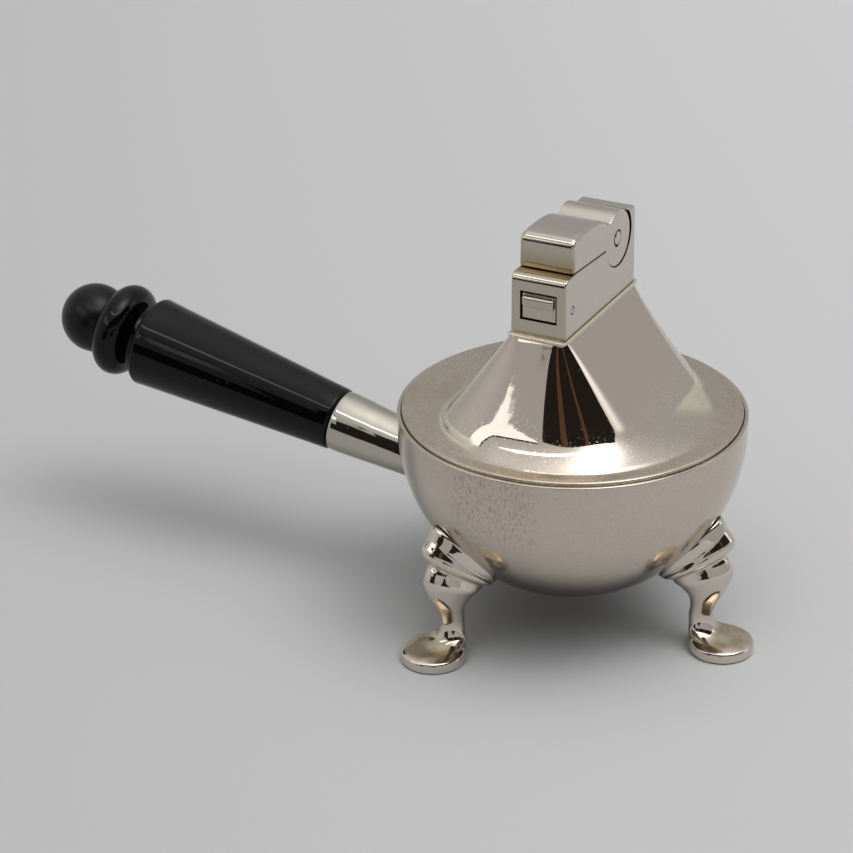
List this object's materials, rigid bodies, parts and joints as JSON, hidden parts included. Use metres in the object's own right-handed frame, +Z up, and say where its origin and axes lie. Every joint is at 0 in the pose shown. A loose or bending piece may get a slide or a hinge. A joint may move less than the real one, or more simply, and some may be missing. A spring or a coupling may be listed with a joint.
{
  "type": "table lighter",
  "caption": "Footed saucepan-shaped table lighter with a turned handle and a lift-out press-button petrol lighter standing on its flared cover.",
  "frame": {"origin": "on the bowl's axis at table level, midway between the three foot pads", "axes": "+Z up; the handle points to -X; the lighter's long side runs along Y with its push button at the -Y end"},
  "size_m": [0.1834, 0.0814, 0.1012],
  "materials": {
    "plated_sheet": "polished nickel-silver plate, lightly tarnished",
    "plated_casting": "polished plate over cast metal",
    "handle_black": "gloss black, turned",
    "brass": "plain",
    "steel": "plain",
    "flint_grey": "matte",
    "cotton": "cotton",
    "cork": "cork",
    "gasket_brown": "matte"
  },
  "bodies": {
    "base": {"bowl": "plated_sheet", "seat_ring": "plated_sheet", "leg_right": "plated_casting", "leg_back": "plated_casting", "leg_front": "plated_casting", "ferrule": "plated_casting", "handle_screw": "steel", "handle_grip": "handle_black"},
    "unit": {"cover": "plated_sheet", "lighter_frame": "plated_casting", "fuel_tank": "brass", "tank_bottom": "brass", "wadding": "cotton", "wick": "cotton", "wick_tube": "brass", "filler_screw": "brass", "filler_gasket": "gasket_brown", "flint_tube": "brass", "flint": "flint_grey", "flint_plunger": "brass", "flint_spring": "steel", "flint_screw": "brass", "arm_pin": "steel", "lift_spring": "steel", "button_pin": "steel", "button_spring": "steel"},
    "lift_arm": {"arm": "plated_casting", "snuffer_cap": "brass", "snuffer_pad": "cork", "drive_pawl": "steel"},
    "wheel": {"flint_wheel": "steel"},
    "push_button": {"button": "plated_casting"}
  },
  "joints": [
    {"name": "unit_lift", "type": "slide", "parent": "base", "child": "unit", "axis": [0, 0, 1], "range_m": [0, 0.03]},
    {"name": "arm_hinge", "type": "hinge", "parent": "unit", "child": "lift_arm", "pos_m": [0, 0.0093, 0.093], "axis": [-1, 0, 0], "range_deg": [0, 80], "deforming": ["lift_spring"]},
    {"name": "wheel_spin", "type": "hinge", "parent": "unit", "child": "wheel", "pos_m": [0, 0.0093, 0.093], "axis": [-1, 0, 0], "range_deg": [0, 80]},
    {"name": "button_press", "type": "hinge", "parent": "unit", "child": "push_button", "pos_m": [0, -0.0152, 0.085], "axis": [-1, 0, 0], "range_deg": [0, 8], "stiffness_Nm_per_rad": 0.02, "springref_deg": -11.46, "deforming": ["button_spring"]}
  ],
  "couplings": [
    {"joint": "wheel_spin", "follows": "arm_hinge", "ratio": 1}
  ]
}
